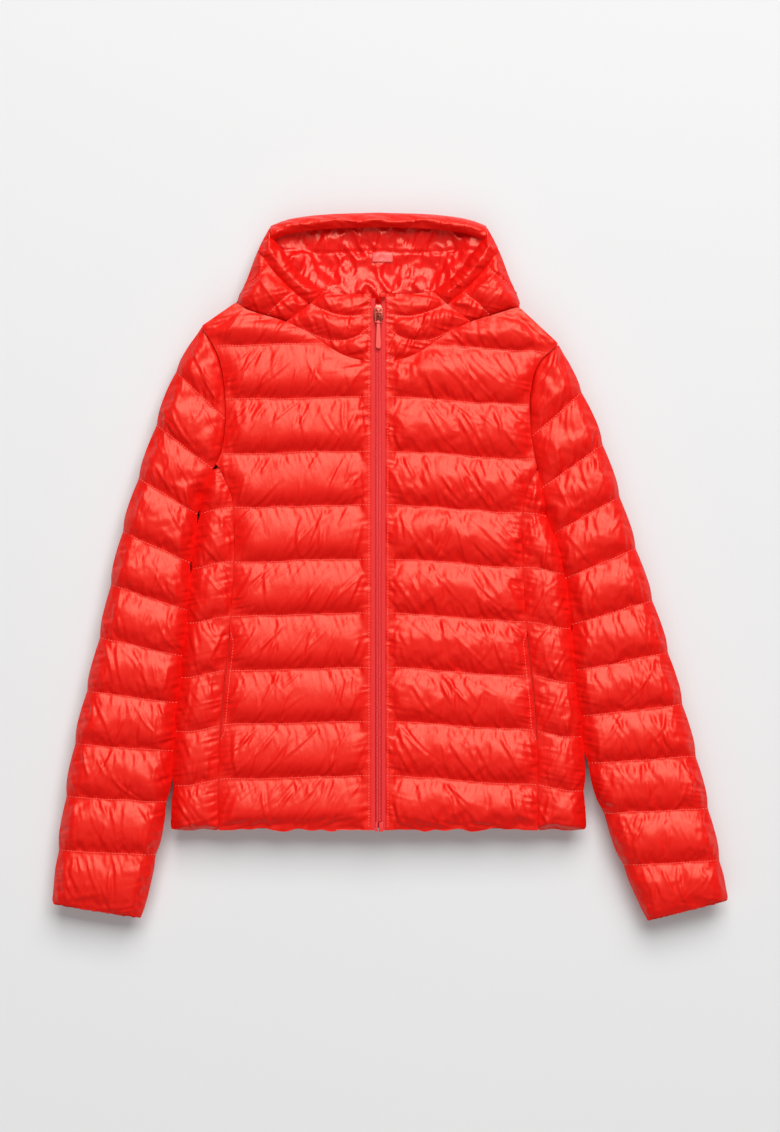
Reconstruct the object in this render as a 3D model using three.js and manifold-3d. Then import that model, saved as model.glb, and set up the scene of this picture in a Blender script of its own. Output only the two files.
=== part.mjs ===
// Hooded quilted ski jacket, zipped shut and lying flat on its back.
// Millimetres. X runs toward the wearer's left, Y toward the hood, Z up out of the front.
// The origin is on the underside of the back panel, level with the middle of the jacket.

import * as THREE from 'three';
import { mergeVertices } from 'three/addons/utils/BufferGeometryUtils.js';
import Module from 'manifold-3d';

const wasm = await Module();
wasm.setup();

// ---------- driving dimensions ----------

const gap = 0.3; // clearance between neighbouring pieces
const bodyLength = 588; // high shoulder point to hem
const shoulderY = 293; // high shoulder point
const hemHalf = 231; // half widths of the body, side seam to middle
const waistHalf = 211;
const underarmHalf = 197;
const waistRise = 245; // waist above hem
const hipRise = 95; // hip above hem
const tipHalf = 198; // shoulder tip to middle
const neckHalf = 158; // where the hood meets the shoulder seam
const wall = 12; // thickness of the padded side walls

const backShell = 7; // layer thicknesses, back to front
const wadding = 6.7;
const lining = 0.8;
const cavity = 13.9;
const frontShell = 9;

const armhole = { x: 236, y: 172, radius: 67 }; // swing centre of the sleeve head
const underarmDrop = 93; // underarm below the armhole centre
const tipRise = 93; // shoulder tip above the armhole centre
const sleeveLength = 562; // armhole centre to cuff edge
const sleeveOuterHalf = { top: 6, elbow: 36, forearm: 48, cuff: 48 };
const sleeveInnerHalf = { top: 57, elbow: 58, forearm: 67, cuff: 48 };
const headTuck = 14; // shoulder end of the outer edge, inward of the armhole centre
const cuffBand = 9; // elastic edge at the wrist
const sides = {
  right: { sign: -1, drop: 0, spread: 8 }, // each arm as it is laid out
  left: { sign: 1, drop: 20, spread: 11.4 },
};

const foldTop = 43; // front opening folds back along this slanting line
const foldBottom = 88;
const zipEdge = 8; // finished front edge to middle
const neckDrop = 67; // middle of the neckline below the high shoulder point
const collarRise = 9.5; // middle of the collar edge above the high shoulder point
const hoodAxisRise = 19; // hood bends here, above the high shoulder point
const hoodHeight = 99; // hood top above the high shoulder point
const hoodTopHalf = 118;
const rimWidth = 26; // padded rim round the face
const crownWidth = 13; // gathered strip at the top of the hood

const princess = { hem: 178, hip: 175, waist: 164, chest: 160, top: 180, rise: 32 }; // seam to middle
const pocket = { rise: 70, length: 163, width: 72, mouthRise: 96, mouthLength: 130, slit: 10 };
const pocketCloth = 0.9;
const pocketSpace = 5;

const chain = { slot: 0.7, width: 2.5, thickness: 2.4, rise: 37.8, topY: 290.5 };
const tape = { width: 12.3, thickness: 0.8 };
const slider = { y: 280.5, length: 17, width: 10.5, plate: 1.2 };
const box = { width: 4.8, length: 9, thickness: 3 };
const bridge = { width: 2.2, length: 8, bar: 1.2, opening: 2.5 };
const ring = { wire: 1.3, width: 8, reach: 10.9 };
const puller = { length: 29, tipWidth: 5.5, neckWidth: 3.2, thickness: 2, eye: 4.2, play: 0.6 };

const loop = { width: 64, height: 15, strip: 3, thickness: 2 };
const patch = { x: 4.5, y: 344.5, width: 23, height: 11, thickness: 0.6 };

// ---------- derived heights and lines ----------

const hemY = shoulderY - bodyLength;
const waistY = hemY + waistRise;
const hoodAxisY = shoulderY + hoodAxisRise;
const hoodTopY = shoulderY + hoodHeight;
const collarY = shoulderY + collarRise;

const z = {};
z.backTop = backShell;
z.backWadding = [z.backTop + gap, z.backTop + gap + wadding];
z.backLining = [z.backWadding[1] + gap, z.backWadding[1] + gap + lining];
z.frontLining = [z.backLining[1] + cavity, z.backLining[1] + cavity + lining];
z.frontWadding = [z.frontLining[1] + gap, z.frontLining[1] + gap + wadding];
z.front = [z.frontWadding[1] + gap, z.frontWadding[1] + gap + frontShell];
z.middle = z.front[1] / 2;
z.top = z.front[1];

const beyond = 60; // cutting shapes reach this far past what they cut
const tall = [-beyond, z.top + beyond];
const far = 900;
const foldEnds = [hemY - beyond, hoodAxisY + beyond];

// ---------- materials ----------

function finish(color, roughness, metalness = 0) {
  return new THREE.MeshStandardMaterial({ color, roughness, metalness });
}
const shellNylon = finish('#ee3a2d', 0.4);
const liningNylon = finish('#d81f22', 0.3);
const waddingWhite = finish('#eceae4', 0.95);
const tapeWoven = finish('#dc3838', 0.7);
const chainPlastic = finish('#e03a3a', 0.45);
const sliderMetal = finish('#c94a3b', 0.35, 0.6);
const pullerRubber = finish('#e8564a', 0.55);
const labelSatin = finish('#f0b0a4', 0.5);

// ---------- outlines ----------

function spline(points, steps) {
  const curve = new THREE.SplineCurve(points.map(([x, y]) => new THREE.Vector2(x, y)));
  return curve.getPoints(steps).map((p) => [p.x, p.y]);
}

function arc(x, y, radius, fromDegrees, toDegrees, steps) {
  const points = [];
  for (let i = 0; i <= steps; i += 1) {
    const a = THREE.MathUtils.degToRad(fromDegrees + ((toDegrees - fromDegrees) * i) / steps);
    points.push([x + radius * Math.cos(a), y + radius * Math.sin(a)]);
  }
  return points;
}

function flip(points, sign) {
  return points.map(([x, y]) => [x * sign, y]);
}

function rectangle(x0, x1, y0, y1) {
  return [[x0, y0], [x1, y0], [x1, y1], [x0, y1]];
}

// ---------- solids ----------

function solidFrom(geometry) {
  const plain = geometry.clone();
  plain.deleteAttribute('normal');
  plain.deleteAttribute('uv');
  const merged = mergeVertices(plain, 1e-4);
  const vertProperties = new Float32Array(merged.attributes.position.array);
  const triVerts = new Uint32Array(merged.index.array);
  return new wasm.Manifold(new wasm.Mesh({ numProp: 3, vertProperties, triVerts }));
}

function prism(points, [bottom, top]) {
  const shape = new THREE.Shape(points.map(([x, y]) => new THREE.Vector2(x, y)));
  const geometry = new THREE.ExtrudeGeometry(shape, { depth: top - bottom, bevelEnabled: false });
  return solidFrom(geometry.translate(0, 0, bottom));
}

function block(x, y, heights) {
  return prism(rectangle(x[0], x[1], y[0], y[1]), heights);
}

const jacket = new THREE.Group();

function add(name, solid, material) {
  const { vertProperties, triVerts } = solid.getMesh();
  const geometry = new THREE.BufferGeometry();
  geometry.setAttribute('position', new THREE.BufferAttribute(vertProperties, 3));
  geometry.setIndex(new THREE.BufferAttribute(triVerts, 1));
  geometry.computeVertexNormals();
  const piece = new THREE.Mesh(geometry, material);
  piece.name = name;
  jacket.add(piece);
}

// ---------- body outline and the regions it is cut into ----------

function armCentre(side) {
  return [armhole.x, armhole.y - side.drop];
}

// One half of the body, hem to neck. Each inset pulls that edge inward.
function bodyHalf(side, { edge = 0, shoulder = 0, head = 0 }) {
  const [cx, cy] = armCentre(side);
  const radius = armhole.radius + gap + head;
  const sideSeam = spline([
    [hemHalf - edge, hemY],
    [hemHalf - edge - 2, hemY + hipRise],
    [waistHalf - edge, waistY],
    [underarmHalf - edge, cy - underarmDrop],
  ], 10);
  const headArc = arc(cx, cy, radius, 195, 112, 8);
  return [
    ...sideSeam,
    ...headArc,
    [tipHalf, cy + tipRise - shoulder],
    [neckHalf, shoulderY - 3 - shoulder],
  ];
}

function bodyOutline(insets = {}) {
  const left = bodyHalf(sides.left, insets);
  const right = flip(bodyHalf(sides.right, insets), -1).reverse();
  return [...left, ...right];
}

function foldX(y) {
  return foldTop + ((foldBottom - foldTop) * (collarY - y)) / (collarY - hemY);
}

// Strip between the zip and the fold line.
function edgeRegion(sign, inner = zipEdge + gap) {
  const [y0, y1] = foldEnds;
  const outer = [[foldX(y0) - gap / 2, y0], [foldX(y1) - gap / 2, y1]];
  return prism(flip([[inner, y0], ...outer, [inner, y1]], sign), tall);
}

// Everything outside the fold line.
function outsideFold(sign) {
  const [y0, y1] = foldEnds;
  const inner = [[foldX(y1) + gap / 2, y1], [foldX(y0) + gap / 2, y0]];
  return prism(flip([...inner, [far, y0], [far, y1]], sign), tall);
}

function princessX(y) {
  const t = (y - hemY) / (princessTopY() - hemY);
  const xs = [princess.hem, princess.hip, princess.waist, princess.chest, princess.top];
  const at = Math.min(Math.max(t, 0), 1) * (xs.length - 1);
  const i = Math.min(Math.floor(at), xs.length - 2);
  return xs[i] + (xs[i + 1] - xs[i]) * (at - i);
}

function princessTopY() {
  return armhole.y - underarmDrop + princess.rise;
}

function seamPoints(y0, y1, shift, steps = 8) {
  const points = [];
  for (let i = 0; i <= steps; i += 1) {
    const y = y0 + ((y1 - y0) * i) / steps;
    points.push([princessX(y) + shift, y]);
  }
  return points;
}

// Panel under the arm, outside the princess seam.
function underarmRegion(side, shift) {
  const top = princessTopY() - side.drop + shift;
  const seam = seamPoints(hemY - 1, top, -shift);
  return prism(flip([...seam, [far, top], [far, hemY - 1]], side.sign), tall);
}

function neckline(shift) {
  return spline([
    [0, shoulderY - neckDrop + shift],
    [30, shoulderY - neckDrop + 4 + shift],
    [73, shoulderY - 35 + shift],
    [123, shoulderY - 16 + shift],
    [neckHalf + 4, shoulderY - 4 + shift],
  ], 12);
}

// Everything above the seam that joins the hood to the body.
function aboveNeck(shift) {
  const line = neckline(shift);
  const [endX, endY] = line[line.length - 1];
  const half = [...line, [endX + 12, endY + 40], [endX + 12, hoodAxisY + 200]];
  return prism([...half, ...flip(half, -1).reverse()], tall);
}

const bodyAboveNeck = aboveNeck(-gap / 2);
const hoodAboveNeck = aboveNeck(gap / 2);

// ---------- body, back ----------

function shoulderWall(side) {
  const tip = [tipHalf - 3, armCentre(side)[1] + tipRise - 3];
  const neck = [neckHalf + 8, shoulderY - 9];
  const outline = [neck, tip, [tip[0], tip[1] - wall + 3], [neck[0], neck[1] - wall + 3]];
  return prism(flip(outline, side.sign), [z.backTop - 1, z.top]);
}

function buildBack() {
  const panel = prism(bodyOutline(), [0, z.backTop])
    .add(shoulderWall(sides.left))
    .add(shoulderWall(sides.right));
  add('back_panel', panel, shellNylon);
  const inner = bodyOutline({ edge: wall + gap, shoulder: wall + 5, head: 1 });
  add('back_wadding', prism(inner, z.backWadding), waddingWhite);
  add('back_lining', prism(inner, z.backLining), liningNylon);
  const neckBand = block(
    [-neckHalf, neckHalf],
    [shoulderY - 3 + gap, hoodAxisY - gap],
    [0, z.backWadding[1]],
  );
  add('neck_band', neckBand, shellNylon);
  buildHangerLoop();
}

function buildHangerLoop() {
  const bottom = z.backLining[1] + gap;
  const heights = [bottom, bottom + loop.thickness];
  const y1 = shoulderY - wall - 9;
  const outer = block([-loop.width / 2, loop.width / 2], [y1 - loop.height, y1], heights);
  const hole = block(
    [-loop.width / 2 + loop.strip, loop.width / 2 - loop.strip],
    [y1 - loop.height + loop.strip, y1 - loop.strip],
    tall,
  );
  add('hanger_loop', outer.subtract(hole), tapeWoven);
}

// ---------- body, front ----------

const frontOutline = bodyOutline({ shoulder: wall + 6 });

function pocketFloorY() {
  return hemY + pocket.rise;
}

// Bag outline, drawn in from every edge by the inset.
function pocketOutline(sign, inset) {
  const y0 = pocketFloorY() + inset;
  const y1 = pocketFloorY() + pocket.length - inset;
  const outer = seamPoints(y0, y1, -gap - inset);
  const innerX = princess.waist - pocket.width + inset;
  return flip([...outer, [innerX, y1], [innerX, y0]], sign);
}

function mouth(sign) {
  const y0 = hemY + pocket.mouthRise;
  const y1 = y0 + pocket.mouthLength;
  const outer = seamPoints(y0, y1, 1, 4);
  const inner = seamPoints(y0, y1, -gap - pocket.slit, 4).reverse();
  return prism(flip([...outer, ...inner], sign), [z.frontWadding[0] + pocketCloth + 0.1, tall[1]]);
}

function buildPocket(name, sign) {
  const floor = z.frontWadding[0];
  const lip = floor + pocketCloth + pocketSpace;
  const tray = prism(pocketOutline(sign, 0), [floor, lip])
    .subtract(prism(pocketOutline(sign, 1.2), [floor + pocketCloth, tall[1]]));
  add(`pocket_bag_${name}`, tray, liningNylon);
  const cover = prism(pocketOutline(sign, 0), [lip + gap / 2, z.frontWadding[1]]).subtract(mouth(sign));
  add(`pocket_cover_${name}`, cover, liningNylon);
}

function buildUnderarmPanel(name, side) {
  const inner = bodyOutline({ edge: wall, shoulder: wall + 6, head: 1 });
  const region = underarmRegion(side, -gap / 2);
  const roof = prism(frontOutline, [z.frontLining[0], z.top]);
  const underarmY = armCentre(side)[1] - underarmDrop;
  const sideWall = prism(bodyOutline(), [z.backTop + gap, z.frontLining[0] + 1])
    .subtract(prism(inner, tall))
    .intersect(block(zipX(side.sign, 0, far), [hemY - 1, underarmY], tall));
  add(`side_panel_${name}`, roof.add(sideWall).intersect(region), shellNylon);
}

function buildFront(name, side) {
  const { sign } = side;
  const notSide = underarmRegion(side, gap / 2);
  const keep = (heights) => prism(frontOutline, heights)
    .intersect(outsideFold(sign))
    .subtract(notSide)
    .subtract(bodyAboveNeck);
  add(`front_panel_${name}`, keep(z.front).subtract(mouth(sign)), shellNylon);
  const pocketRoom = prism(pocketOutline(sign, -wall / 4), tall);
  add(`front_wadding_${name}`, keep(z.frontWadding).subtract(pocketRoom), waddingWhite);
  add(`front_lining_${name}`, keep(z.frontLining), liningNylon);
}

// ---------- opening edge: shell, wadding, facing, collar and zip half ----------

function tapeHeights() {
  const bottom = chain.rise + (chain.thickness - tape.thickness) / 2;
  return [bottom, bottom + tape.thickness];
}

function zipX(sign, from, to) {
  return sign > 0 ? [from, to] : [-to, -from];
}

function buildOpeningEdge(name, side) {
  const { sign } = side;
  const region = edgeRegion(sign);
  const keep = (heights) => prism(frontOutline, heights).intersect(region).subtract(bodyAboveNeck);
  const [tapeBottom, tapeTop] = tapeHeights();
  const tapeEnd = chain.slot + chain.width + tape.width;
  const rebate = block(
    zipX(sign, 0, tapeEnd + gap),
    [hemY - 5, hoodAxisY],
    [tapeBottom - gap, tapeTop + gap],
  );
  add(`front_edge_${name}`, keep(z.front).subtract(rebate), shellNylon);
  add(`front_edge_wadding_${name}`, keep(z.frontWadding), waddingWhite);
  add(`front_facing_${name}`, keep(z.frontLining), liningNylon);

  const collar = prism(flip([
    [zipEdge + gap, hemY],
    [far, hemY],
    [far, collarY],
    [zipEdge + gap, collarY],
  ], sign), [z.frontWadding[0], z.top]).intersect(region).intersect(hoodAboveNeck);
  add(`collar_${name}`, collar.subtract(rebate), shellNylon);

  const tapeSolid = block(
    zipX(sign, chain.slot + chain.width + gap, tapeEnd),
    [hemY, chain.topY + 6],
    [tapeBottom, tapeTop],
  );
  add(`zip_tape_${name}`, tapeSolid, tapeWoven);
  const chainSolid = block(
    zipX(sign, chain.slot, chain.slot + chain.width),
    [hemY + box.length + gap, chain.topY],
    [chain.rise, chain.rise + chain.thickness],
  );
  add(`zip_chain_${name}`, chainSolid, chainPlastic);
}

function buildZipEnds() {
  const middle = chain.rise + chain.thickness / 2;
  const [tapeBottom, tapeTop] = tapeHeights();
  const slotForTape = block(
    zipX(1, chain.slot + chain.width, far),
    [hemY - far, hemY + far],
    [tapeBottom - gap, tapeTop + gap],
  );
  const retainer = block(
    zipX(1, chain.slot, chain.slot + box.width),
    [hemY - 1.5, hemY + box.length],
    [middle - box.thickness / 2, middle + box.thickness / 2],
  ).subtract(slotForTape);
  add('zip_box', retainer, chainPlastic);
  const pin = block(
    zipX(-1, chain.slot, chain.slot + chain.width),
    [hemY - 1.5, hemY + box.length],
    [chain.rise, chain.rise + chain.thickness],
  );
  add('zip_pin', pin, chainPlastic);
  const guard = block(
    zipX(1, chain.slot, zipEdge),
    [chain.topY + 6 + gap, collarY],
    [z.frontWadding[1], z.top],
  );
  add('chin_guard', guard, shellNylon);
}

// ---------- slider and puller ----------

function sliderHeights() {
  const lower = chain.rise - gap;
  const upper = chain.rise + chain.thickness + gap;
  return { lower, upper, bottom: lower - slider.plate, top: upper + slider.plate };
}

function sliderOutline() {
  const half = slider.width / 2;
  const end = slider.length / 2;
  const y = slider.y;
  return [
    [half - 1.2, y - end], [half, y - end + 2], [half, y + end - 5], [half - 2.6, y + end],
    [2.6 - half, y + end], [-half, y + end - 5], [-half, y - end + 2], [1.2 - half, y - end],
  ];
}

function buildSlider() {
  const h = sliderHeights();
  const [tapeBottom, tapeTop] = tapeHeights();
  const channelHalf = chain.slot + chain.width + gap;
  const end = slider.length / 2;
  const body = prism(sliderOutline(), [h.bottom, h.top]);
  const channel = (sign) => block(
    zipX(sign, chain.slot - 0.2, channelHalf),
    [slider.y - far, slider.y + far],
    [h.lower, h.upper],
  );
  const below = block([-1, 1], [slider.y - far, slider.y + end - 5], [h.lower, h.upper]);
  const tapeSlot = (sign) => block(
    zipX(sign, chain.slot, far),
    [slider.y - far, slider.y + far],
    [tapeBottom - gap, tapeTop + gap],
  );
  const legY = bridge.length / 2;
  const bridgeTop = h.top + bridge.opening + bridge.bar;
  const arch = block(
    [-bridge.width / 2, bridge.width / 2],
    [slider.y - legY, slider.y + legY],
    [h.top - 0.5, bridgeTop],
  ).subtract(block(
    [-far, far],
    [slider.y - legY + bridge.bar, slider.y + legY - bridge.bar],
    [h.top, h.top + bridge.opening],
  ));
  const solid = body
    .subtract(channel(1))
    .subtract(channel(-1))
    .subtract(below)
    .subtract(tapeSlot(1))
    .subtract(tapeSlot(-1))
    .add(arch);
  add('zip_slider', solid, sliderMetal);
}

function ringAxisZ() {
  return sliderHeights().top + bridge.opening / 2;
}

function buildPullRing() {
  const half = ring.wire / 2;
  const heights = [ringAxisZ() - half, ringAxisZ() + half];
  const outer = block(
    [-ring.width / 2, ring.width / 2],
    [slider.y - ring.reach - half, slider.y + half],
    heights,
  );
  const hole = block(
    [-ring.width / 2 + ring.wire, ring.width / 2 - ring.wire],
    [slider.y - ring.reach + half, slider.y - half],
    tall,
  );
  add('pull_ring', outer.subtract(hole), sliderMetal);
}

function buildPuller() {
  const eyeY = slider.y - ring.reach;
  const axisZ = ringAxisZ();
  const halfNeck = puller.neckWidth / 2;
  const halfTip = puller.tipWidth / 2;
  const endY = eyeY - puller.length;
  const outline = [
    [halfNeck, eyeY],
    ...arc(0, endY + halfTip, halfTip, 0, -180, 8),
    [-halfNeck, eyeY],
  ];
  const blade = prism(outline, [axisZ - puller.thickness / 2, axisZ + puller.thickness / 2]);
  const barrel = new THREE.CylinderGeometry(puller.eye / 2, puller.eye / 2, puller.neckWidth, 16);
  const eye = solidFrom(barrel.rotateZ(Math.PI / 2).translate(0, eyeY, axisZ));
  const bore = ring.wire / 2 + puller.play;
  const hole = block([-far, far], [eyeY - bore, eyeY + bore], [axisZ - bore, axisZ + bore]);
  add('zip_puller', blade.add(eye).subtract(hole), pullerRubber);
}

// ---------- hood ----------

function hoodHalf(inset) {
  return spline([
    [neckHalf - 6 - inset, hoodAxisY + gap],
    [neckHalf - 20 - inset, hoodAxisY + 31],
    [hoodTopHalf + 9 - inset, hoodTopY - 27],
    [hoodTopHalf - 2 - inset * 0.8, hoodTopY - 14 - inset * 0.6],
    [hoodTopHalf - 26, hoodTopY - 6 - inset],
    [0, hoodTopY - inset],
  ], 14);
}

function hoodOutline(inset = 0) {
  const half = hoodHalf(inset);
  return [...half, ...flip(half, -1).reverse().slice(1)];
}

// Inner edge of the face opening, middle of the chin to the top of the hood.
function faceHalf(shift) {
  return spline([
    [foldTop - 6 + shift * 0.3, collarY - shift],
    [59 + shift * 0.5, collarY + 4 - shift],
    [87 + shift * 0.8, shoulderY + 33 - shift * 0.6],
    [hoodTopHalf - 14 + shift, shoulderY + 56],
    [hoodTopHalf - 3 + shift * 0.2, hoodTopY - crownWidth - gap],
  ], 12);
}

function faceOpening(shift) {
  const half = faceHalf(shift);
  const first = half[0];
  const last = half[half.length - 1];
  const closed = [[0, first[1]], ...half, [last[0], hoodTopY + 50], [0, hoodTopY + 50]];
  return prism([...closed, ...flip(closed, -1).reverse()], tall);
}

function buildHood() {
  add('hood_back', prism(hoodOutline(), [0, z.backTop]), shellNylon);
  add('hood_wadding', prism(hoodOutline(wall + gap), z.backWadding), waddingWhite);
  add('hood_lining', prism(hoodOutline(wall + gap), z.backLining), liningNylon);
  const label = block(
    [patch.x - patch.width / 2, patch.x + patch.width / 2],
    [patch.y - patch.height / 2, patch.y + patch.height / 2],
    [z.backLining[1] + gap, z.backLining[1] + gap + patch.thickness],
  );
  add('hood_label', label, labelSatin);
  const crown = prism(hoodOutline(), [z.backLining[1] + gap, z.middle + 8])
    .intersect(block([-hoodTopHalf + 4, hoodTopHalf - 4], [hoodTopY - crownWidth, hoodTopY + 9], tall));
  add('hood_crown', crown, shellNylon);
}

function buildHoodSide(name, side) {
  const half = side.sign > 0 ? block([0, far], [0, far], tall) : block([-far, 0], [0, far], tall);
  const crownRoom = block(
    [-hoodTopHalf + 4 - gap, hoodTopHalf - 4 + gap],
    [hoodTopY - crownWidth - gap, hoodTopY + 9],
    tall,
  );
  const roof = prism(hoodOutline(), [z.frontWadding[0], z.top]);
  const skirt = prism(hoodOutline(), [z.backTop + gap, z.frontWadding[0] + 1])
    .subtract(prism(hoodOutline(wall), tall));
  const shell = roof.add(skirt).intersect(half).subtract(crownRoom);
  add(`hood_side_${name}`, shell.subtract(faceOpening(rimWidth)), shellNylon);
  const rim = roof.intersect(half).subtract(crownRoom)
    .intersect(faceOpening(rimWidth - gap))
    .subtract(faceOpening(0));
  add(`hood_rim_${name}`, rim, shellNylon);
}

// Lower end of the hood that stays with the body, outside the fold line.
function buildHoodBase(name, side) {
  const { sign } = side;
  const outline = flip([
    [0, hemY],
    [neckHalf, hemY],
    [neckHalf + 1, shoulderY + 4],
    [neckHalf - 6, hoodAxisY - gap],
    [0, hoodAxisY - gap],
  ], sign);
  const roof = prism(outline, [z.frontWadding[0], z.top])
    .intersect(hoodAboveNeck)
    .intersect(outsideFold(sign))
    .subtract(faceOpening(0));
  const leg = prism(flip([
    [neckHalf - wall - 6, shoulderY],
    [neckHalf - 1, shoulderY],
    [neckHalf - 6, hoodAxisY - gap],
    [neckHalf - wall - 6, hoodAxisY - gap],
  ], sign), [z.backWadding[1] + gap, z.frontWadding[0] + 1]);
  add(`hood_base_${name}`, roof.add(leg), shellNylon);
}

// ---------- sleeves ----------

// Outline in the sleeve's own frame: armhole centre at the origin, cuff toward minus Y.
// The head is round about the centre so that it turns in the armhole.
function sleeveLocal(inset, reach) {
  const L = sleeveLength;
  const end = -L - reach;
  const o = sleeveOuterHalf;
  const i = sleeveInnerHalf;
  const headRadius = armhole.radius + Math.abs(reach);
  const headStart = THREE.MathUtils.radToDeg(Math.acos((-headTuck - inset) / headRadius));
  const head = arc(0, 0, headRadius, headStart, 215, 10);
  const inner = spline([
    [-i.top + inset, -0.15 * L],
    [-i.elbow + inset, -0.38 * L],
    [-i.forearm + inset, -0.68 * L],
    [-i.forearm + 4 + inset, -0.85 * L],
    [-i.cuff + inset, -L + 12],
  ], 10);
  const outer = spline([
    [o.cuff - inset, -L + 12],
    [o.forearm + 1 - inset, -0.85 * L],
    [o.forearm - inset, -0.68 * L],
    [o.elbow - inset, -0.36 * L],
    [o.top + 14 - inset, -0.12 * L],
    [o.top - inset, 0],
  ], 10);
  const cuff = [[-i.cuff + inset, end], [o.cuff - inset, end]];
  return [...head, ...inner, ...cuff, ...outer];
}

function sleeveOutline(side, inset = 0, reach = 0) {
  const [cx, cy] = armCentre(side);
  const turn = THREE.MathUtils.degToRad(side.spread);
  const cos = Math.cos(turn);
  const sin = Math.sin(turn);
  const place = ([x, y]) => [cx + x * cos - y * sin, cy + x * sin + y * cos];
  return flip(sleeveLocal(inset, reach).map(place), side.sign);
}

function buildSleeve(name, side) {
  const bodyRoom = prism(bodyOutline({ edge: -2 * gap, shoulder: -20, head: -gap }), tall);
  const cuffCut = prism(sleeveOutline(side, -10, -cuffBand), tall);
  const cut = (outline, heights) => prism(outline, heights).subtract(bodyRoom);
  const full = sleeveOutline(side);
  const space = prism(sleeveOutline(side, wall, 20), [z.backTop, z.front[0]]);
  const long = (solid) => solid.intersect(cuffCut);
  const under = long(cut(full, [0, z.middle - gap / 2]).subtract(space));
  add(`sleeve_under_${name}`, under, shellNylon);
  const top = long(cut(full, [z.middle + gap / 2, z.top]).subtract(space));
  add(`sleeve_top_${name}`, top, shellNylon);
  const inside = sleeveOutline(side, wall + gap);
  add(`sleeve_under_wadding_${name}`, long(cut(inside, z.backWadding)), waddingWhite);
  add(`sleeve_top_wadding_${name}`, long(cut(inside, z.frontWadding)), waddingWhite);
  add(`sleeve_under_lining_${name}`, long(cut(inside, z.backLining)), liningNylon);
  add(`sleeve_top_lining_${name}`, long(cut(inside, z.frontLining)), liningNylon);
  const hole = prism(sleeveOutline(side, wall, 20), [z.backTop, z.front[0]]);
  const cuff = prism(full, [1.5, z.top - 1.5]).subtract(hole)
    .subtract(prism(sleeveOutline(side, -10, -cuffBand + gap), tall));
  add(`cuff_${name}`, cuff, shellNylon);
}

// ---------- assembly ----------

buildBack();
for (const [name, side] of Object.entries(sides)) {
  buildUnderarmPanel(name, side);
  buildFront(name, side);
  buildPocket(name, side.sign);
  buildOpeningEdge(name, side);
  buildHoodBase(name, side);
  buildHoodSide(name, side);
  buildSleeve(name, side);
}
buildZipEnds();
buildSlider();
buildPullRing();
buildPuller();
buildHood();

export default jacket;
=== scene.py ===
import math
import bmesh
import bpy
import numpy as np
from mathutils import Matrix, Vector, kdtree


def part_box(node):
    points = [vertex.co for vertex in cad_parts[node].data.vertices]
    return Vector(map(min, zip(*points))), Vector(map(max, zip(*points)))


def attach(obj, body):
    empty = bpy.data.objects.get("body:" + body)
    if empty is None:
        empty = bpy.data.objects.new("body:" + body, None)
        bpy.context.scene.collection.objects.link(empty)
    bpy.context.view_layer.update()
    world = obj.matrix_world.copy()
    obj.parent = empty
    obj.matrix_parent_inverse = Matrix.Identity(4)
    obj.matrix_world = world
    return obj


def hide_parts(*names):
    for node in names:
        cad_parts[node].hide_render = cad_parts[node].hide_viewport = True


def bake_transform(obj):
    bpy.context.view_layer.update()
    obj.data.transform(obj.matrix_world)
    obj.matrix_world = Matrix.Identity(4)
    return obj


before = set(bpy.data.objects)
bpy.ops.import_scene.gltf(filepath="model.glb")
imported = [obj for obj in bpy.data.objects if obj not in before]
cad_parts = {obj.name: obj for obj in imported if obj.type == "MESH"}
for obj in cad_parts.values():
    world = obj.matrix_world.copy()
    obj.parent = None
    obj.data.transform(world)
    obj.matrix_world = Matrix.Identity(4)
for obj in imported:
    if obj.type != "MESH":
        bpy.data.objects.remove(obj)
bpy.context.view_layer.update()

MM = 0.001

# ---------------------------------------------------------------- places taken from the frame

HEM_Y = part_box("back_panel")[0][1] / MM
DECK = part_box("front_panel_left")[0][2] / MM  # underside of the front shell
LINING_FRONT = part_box("front_lining_left")[0][2] / MM
LINING_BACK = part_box("back_lining")[1][2] / MM
TAPE_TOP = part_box("zip_tape_left")[1][2] / MM

ROW = 60.3  # height of one quilted row on the body
SLEEVE_ROW = {"right": 59.3, "left": 58.0}
ZIP_EDGE = 8.0  # from the middle of the zip to the edge of each front
ZIP_REACH = 10.0  # the front shell lies on the zip tape this far in from that edge
ON_TAPE = TAPE_TOP + 0.9  # height of the shell where it lies on the tape
LOFT = 8.5  # how far a full row stands above its stitching
UNDER = 3.6  # height of the stitching on the underside
UNDER_LOFT = 3.3  # a row on the underside is pressed nearly flat by the jacket's weight
EDGE = 28.0  # height at which front and back meet along the side seams
CROWN_EDGE = EDGE - 4  # height of the edge over the top of the hood
BACK_HEM = 12.0  # height at which the back ends at the hem
FRONT_HEM = DECK - 5  # height at which the front ends at the hem
SEAM = DECK - 3  # sunken height of the armhole and neck seams
PANEL_SEAM = DECK - 1  # height of the seams between body panels

# ---------------------------------------------------------------- outlines, in millimetres, each half as +X


class Side:
    """Outlines of one half of the jacket as it is laid out. sign is its direction along X."""

    def __init__(self, name, sign, underarm, armhole, tip, neck, outer, inner, cuff, row_start):
        self.name = name
        self.sign = sign
        self.underarm = underarm
        self.armhole = armhole
        self.tip = tip
        self.neck = neck
        self.outer = outer
        self.inner = inner
        self.cuff = cuff
        self.row_start = row_start


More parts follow.
